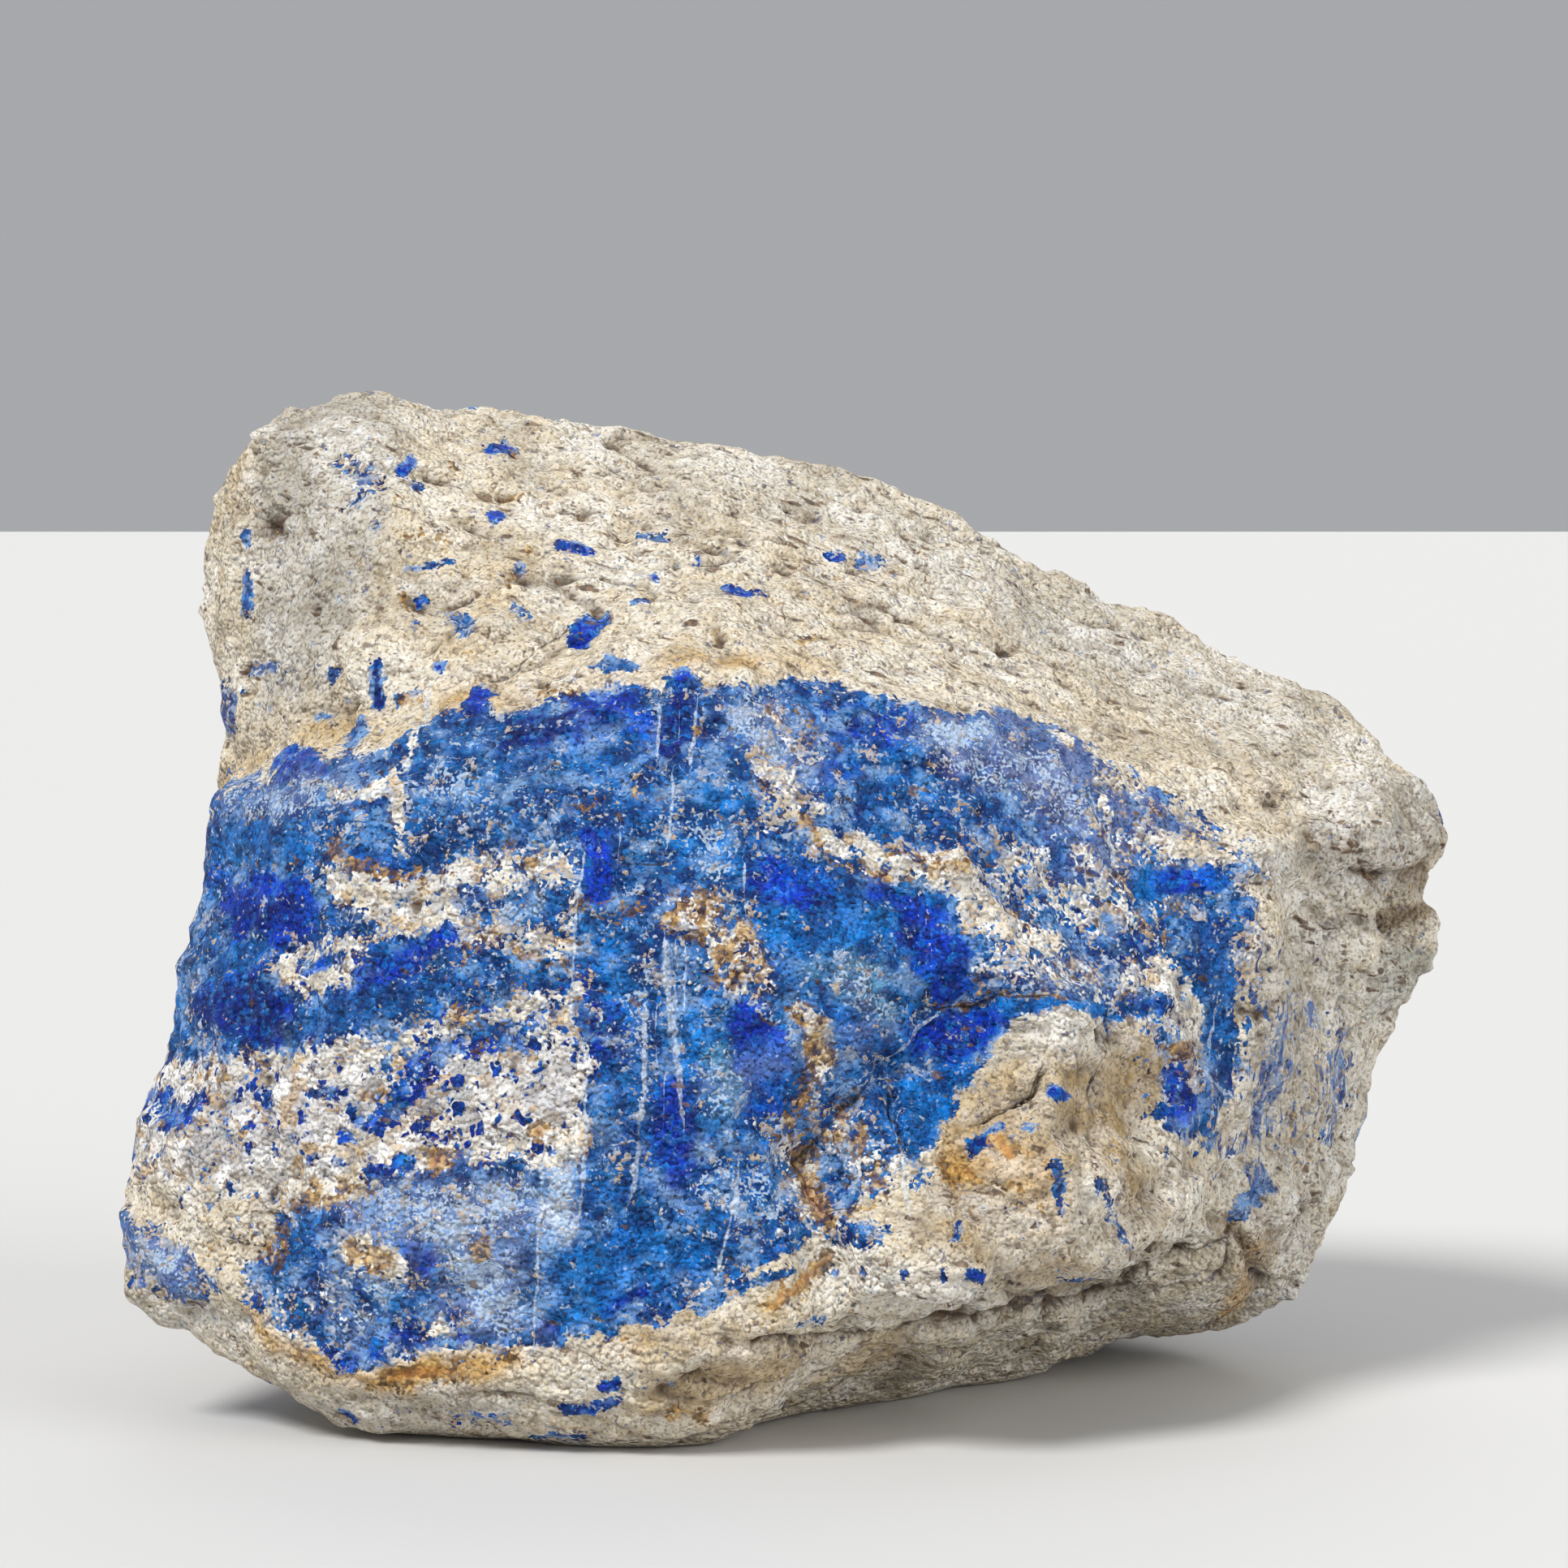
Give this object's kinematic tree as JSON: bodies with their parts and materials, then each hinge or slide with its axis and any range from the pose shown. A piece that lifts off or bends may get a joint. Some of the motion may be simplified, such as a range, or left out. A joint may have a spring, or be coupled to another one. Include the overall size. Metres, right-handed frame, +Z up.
{
  "type": "rough lapis lazuli stone",
  "caption": "Rough lapis lazuli stone: a weathered block of pale marble with one broad broken blue face, standing on its own flat spot.",
  "frame": {"origin": "middle of the stone's outline from above, at the height of its flat resting spot", "axes": "+Z up out of the table, +X along the stone's longest way, to the right of a viewer who looks at the blue face, -Y out of the blue face towards that viewer"},
  "size_m": [0.202, 0.1564, 0.1518],
  "materials": {
    "stone": "rough, weathered marble with blue lapis lazuli"
  },
  "bodies": {
    "root": {"rough_stone": "stone"}
  },
  "joints": []
}
